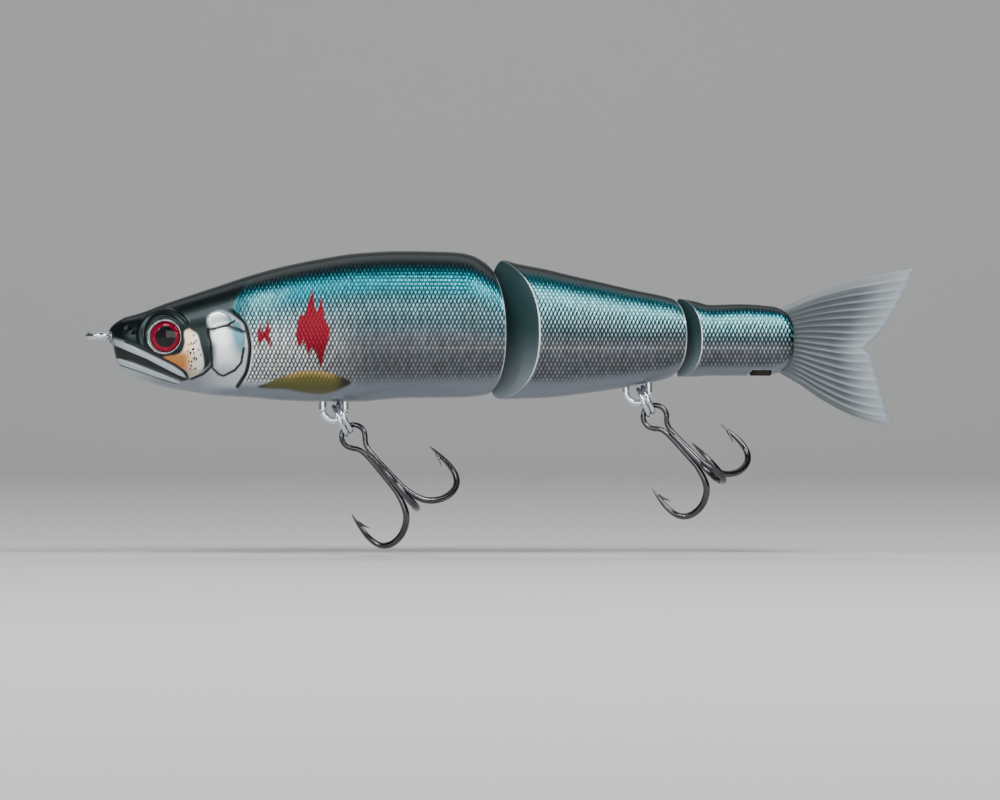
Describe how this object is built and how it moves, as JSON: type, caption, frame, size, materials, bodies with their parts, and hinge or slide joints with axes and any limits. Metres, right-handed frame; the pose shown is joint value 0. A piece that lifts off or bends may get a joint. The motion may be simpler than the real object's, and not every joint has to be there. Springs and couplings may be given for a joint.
{
  "type": "swimbait",
  "caption": "Jointed hard-bodied fishing lure with vertical pin hinges, a soft forked tail fin and treble hooks hanging from split rings.",
  "frame": {"origin": "centre of the line tie's wire eye, on the middle plane of the body", "axes": "+X runs from the nose to the tail, +Z is the back, +Y is sideways (the lure's left side when it is seen from behind with the back up)"},
  "size_m": [0.1826, 0.0296, 0.0657],
  "materials": {
    "body_paint": "moulded plastic, metallic scale paint under clear coat",
    "bright_steel": "bright stainless wire",
    "black_nickel": "black nickel plated hook wire",
    "eye_print": "printed foil disc",
    "eye_clear": "clear domed resin",
    "soft_fin": "soft translucent plastisol",
    "lead": "cast lead"
  },
  "bodies": {
    "front_body": {"front_shell_left": "body_paint", "front_shell_right": "body_paint", "line_tie": "bright_steel", "eye_disc_left": "eye_print", "eye_disc_right": "eye_print", "eye_lens_left": "eye_clear", "eye_lens_right": "eye_clear", "front_hanger": "bright_steel", "front_joint_eye_lower": "bright_steel", "front_joint_eye_upper": "bright_steel", "front_ballast_fore": "lead", "front_ballast_aft": "lead"},
    "middle_body": {"middle_shell_left": "body_paint", "middle_shell_right": "body_paint", "front_joint_pin": "bright_steel", "rear_hanger": "bright_steel", "rear_joint_eye_lower": "bright_steel", "rear_joint_eye_upper": "bright_steel", "middle_ballast": "lead"},
    "tail_body": {"tail_shell_left": "body_paint", "tail_shell_right": "body_paint", "rear_joint_pin": "bright_steel", "tail_fin": "soft_fin"},
    "front_ring": {"front_split_ring": "bright_steel"},
    "front_treble": {"front_treble_double": "black_nickel", "front_treble_single": "black_nickel"},
    "rear_ring": {"rear_split_ring": "bright_steel"},
    "rear_treble": {"rear_treble_double": "black_nickel", "rear_treble_single": "black_nickel"}
  },
  "joints": [
    {"name": "front_joint", "type": "hinge", "parent": "front_body", "child": "middle_body", "pos_m": [0.0883, 0, 0], "axis": [0, 0, 1], "range_deg": [-25, 25]},
    {"name": "rear_joint", "type": "hinge", "parent": "middle_body", "child": "tail_body", "pos_m": [0.1289, 0, 0], "axis": [0, 0, 1], "range_deg": [-24, 24]},
    {"name": "front_ring_swing", "type": "hinge", "parent": "front_body", "child": "front_ring", "pos_m": [0.05316, 0, -0.01796], "axis": [0.866, 0, 0.5], "range_deg": [-25, 25]},
    {"name": "front_treble_swing", "type": "hinge", "parent": "front_ring", "child": "front_treble", "pos_m": [0.05523, 0, -0.02155], "axis": [0, 1, 0], "range_deg": [-12, 80]},
    {"name": "rear_ring_swing", "type": "hinge", "parent": "middle_body", "child": "rear_ring", "pos_m": [0.1201, 0, -0.0141], "axis": [0.887, 0, 0.4617], "range_deg": [-25, 25]},
    {"name": "rear_treble_swing", "type": "hinge", "parent": "rear_ring", "child": "rear_treble", "pos_m": [0.12174, 0, -0.01726], "axis": [0, 1, 0], "range_deg": [-10, 60]}
  ]
}
